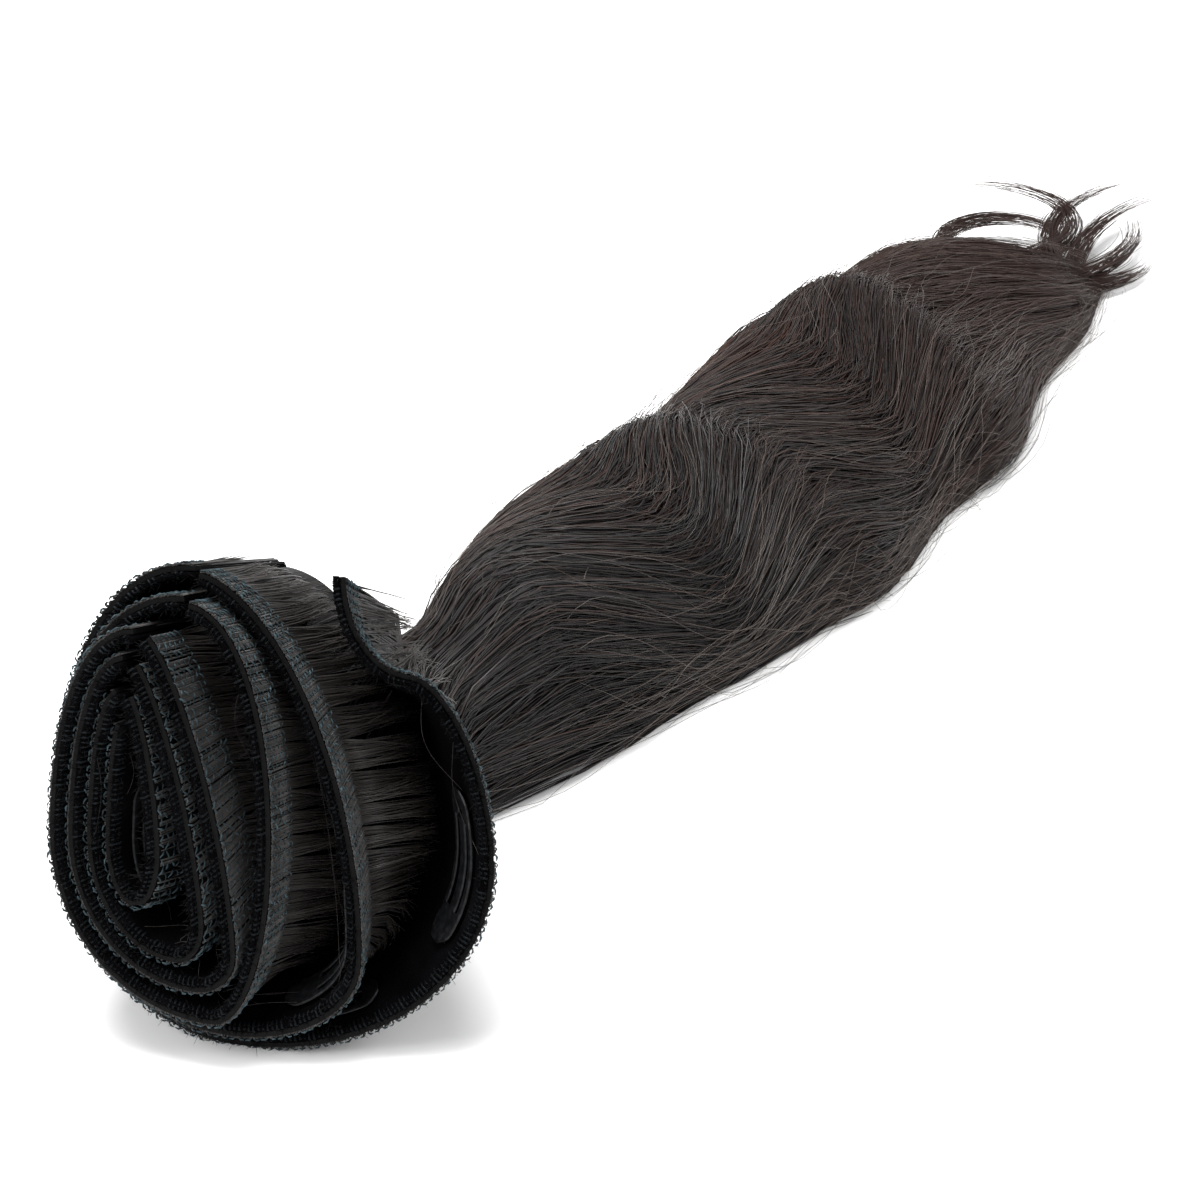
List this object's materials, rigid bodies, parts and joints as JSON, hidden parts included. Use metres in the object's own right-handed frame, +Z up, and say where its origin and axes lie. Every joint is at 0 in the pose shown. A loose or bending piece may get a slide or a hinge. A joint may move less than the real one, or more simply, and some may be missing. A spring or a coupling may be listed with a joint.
{
  "type": "clip_in_hair_extension",
  "caption": "Set of clip in hair extensions: velvet-backed wefts wound into a flared roll, with long, dark, wavy hair laid out behind it to thin curled tips",
  "frame": {"origin": "On the floor under the roll of wefts, on the flattened foot of its outer turn, 7.8 mm behind the roll's front rim", "axes": "+X along the hair from the roll to the tips, +Y to the left seen from the roll's open face, +Z up"},
  "size_m": [0.5039, 0.14, 0.0871],
  "materials": {
    "velvet": "matte",
    "weft_hair": "satin",
    "long_hair": "satin",
    "clip_paint": "satin"
  },
  "bodies": {
    "root": {"ribbon_1": "velvet", "weft_1": "weft_hair", "ribbon_2": "velvet", "weft_2": "weft_hair", "ribbon_3": "velvet", "weft_3": "weft_hair", "ribbon_4": "velvet", "weft_4": "weft_hair", "ribbon_5": "velvet", "weft_5": "weft_hair", "ribbon_6": "velvet", "weft_6": "weft_hair", "clip_1": "clip_paint", "clip_2": "clip_paint", "clip_3": "clip_paint", "clip_4": "clip_paint", "clip_5": "clip_paint", "clip_6": "clip_paint", "clip_7": "clip_paint", "clip_8": "clip_paint", "hair": "long_hair"}
  },
  "joints": []
}
